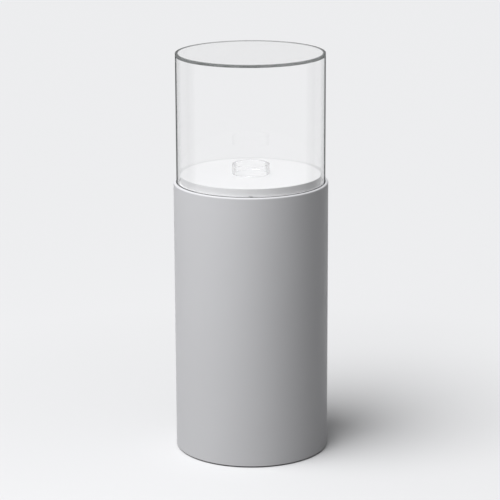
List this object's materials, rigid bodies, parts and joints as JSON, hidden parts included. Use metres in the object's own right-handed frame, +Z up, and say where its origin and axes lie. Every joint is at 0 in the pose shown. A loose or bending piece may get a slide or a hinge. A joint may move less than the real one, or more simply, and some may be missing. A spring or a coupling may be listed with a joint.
{
  "type": "display pedestal",
  "caption": "Round grey plinth with a lift-off clear cylinder cover, a white deck and a low ring stand that holds a ball on show.",
  "frame": {"origin": "on the floor, under the middle of the plinth", "axes": "+Z up along the plinth's axis, the front faces -Y"},
  "size_m": [0.364, 0.364, 0.9546],
  "materials": {
    "grey_lacquer": "satin grey lacquer on board",
    "white_lacquer": "satin white lacquer on board",
    "clear_glass": "clear, polished edges",
    "clear_acrylic": "clear, polished",
    "black_rubber": "matt",
    "fibreboard": "raw board",
    "pine": "planed",
    "mild_steel": "bare plate",
    "zinc_plate": "bright zinc",
    "black_nylon": "moulded"
  },
  "bodies": {
    "plinth": {"drum_skin": "grey_lacquer", "plinth_cap": "grey_lacquer", "locating_disc": "white_lacquer", "base_board": "fibreboard", "lower_former": "fibreboard", "upper_former": "fibreboard", "batten_right": "pine", "batten_rear": "pine", "batten_left": "pine", "batten_front": "pine", "cap_screw_1": "zinc_plate", "cap_screw_2": "zinc_plate", "cap_screw_3": "zinc_plate", "cap_screw_4": "zinc_plate", "base_screw_1": "zinc_plate", "base_screw_2": "zinc_plate", "base_screw_3": "zinc_plate", "base_screw_4": "zinc_plate", "ballast_plate_1": "mild_steel", "ballast_plate_2": "mild_steel", "ballast_washer": "zinc_plate", "ballast_nut": "zinc_plate", "ballast_bolt": "zinc_plate", "foot_insert_1": "zinc_plate", "foot_insert_2": "zinc_plate", "foot_insert_3": "zinc_plate", "foot_insert_4": "zinc_plate", "seat_gasket": "black_rubber", "deck_dowel_1": "pine", "deck_dowel_2": "pine", "deck_dowel_3": "pine"},
    "cover": {"cover_tube": "clear_glass", "cover_top": "clear_glass"},
    "deck": {"display_deck": "white_lacquer"},
    "stand": {"ball_stand": "clear_acrylic"},
    "foot_1": {"foot_pad_1": "black_nylon"},
    "foot_2": {"foot_pad_2": "black_nylon"},
    "foot_3": {"foot_pad_3": "black_nylon"},
    "foot_4": {"foot_pad_4": "black_nylon"},
    "stud_1": {"foot_stud_1": "zinc_plate"},
    "stud_2": {"foot_stud_2": "zinc_plate"},
    "stud_3": {"foot_stud_3": "zinc_plate"},
    "stud_4": {"foot_stud_4": "zinc_plate"}
  },
  "joints": [
    {"name": "cover_lift", "type": "slide", "parent": "plinth", "child": "cover", "axis": [0, 0, 1], "range_m": [0, 0.36]},
    {"name": "deck_lift", "type": "slide", "parent": "plinth", "child": "deck", "axis": [0, 0, 1], "range_m": [0, 0.04]},
    {"name": "stand_lift", "type": "slide", "parent": "deck", "child": "stand", "axis": [0, 0, 1], "range_m": [0, 0.2]},
    {"name": "foot_height_1", "type": "slide", "parent": "plinth", "child": "foot_1", "axis": [0, 0, 1], "range_m": [-0.0075, 0.0025]},
    {"name": "foot_height_2", "type": "slide", "parent": "plinth", "child": "foot_2", "axis": [0, 0, 1], "range_m": [-0.0075, 0.0025]},
    {"name": "foot_height_3", "type": "slide", "parent": "plinth", "child": "foot_3", "axis": [0, 0, 1], "range_m": [-0.0075, 0.0025]},
    {"name": "foot_height_4", "type": "slide", "parent": "plinth", "child": "foot_4", "axis": [0, 0, 1], "range_m": [-0.0075, 0.0025]},
    {"name": "foot_turn_1", "type": "hinge", "parent": "foot_1", "child": "stud_1", "pos_m": [0.10253, 0.10253, 0.01], "axis": [0, 0, 1], "range_deg": [-2160, 720]},
    {"name": "foot_turn_2", "type": "hinge", "parent": "foot_2", "child": "stud_2", "pos_m": [-0.10253, 0.10253, 0.01], "axis": [0, 0, 1], "range_deg": [-2160, 720]},
    {"name": "foot_turn_3", "type": "hinge", "parent": "foot_3", "child": "stud_3", "pos_m": [-0.10253, -0.10253, 0.01], "axis": [0, 0, 1], "range_deg": [-2160, 720]},
    {"name": "foot_turn_4", "type": "hinge", "parent": "foot_4", "child": "stud_4", "pos_m": [0.10253, -0.10253, 0.01], "axis": [0, 0, 1], "range_deg": [-2160, 720]}
  ],
  "couplings": [
    {"joint": "foot_turn_1", "follows": "foot_height_1", "rad_per_m": 5026.5},
    {"joint": "foot_turn_2", "follows": "foot_height_2", "rad_per_m": 5026.5},
    {"joint": "foot_turn_3", "follows": "foot_height_3", "rad_per_m": 5026.5},
    {"joint": "foot_turn_4", "follows": "foot_height_4", "rad_per_m": 5026.5}
  ]
}
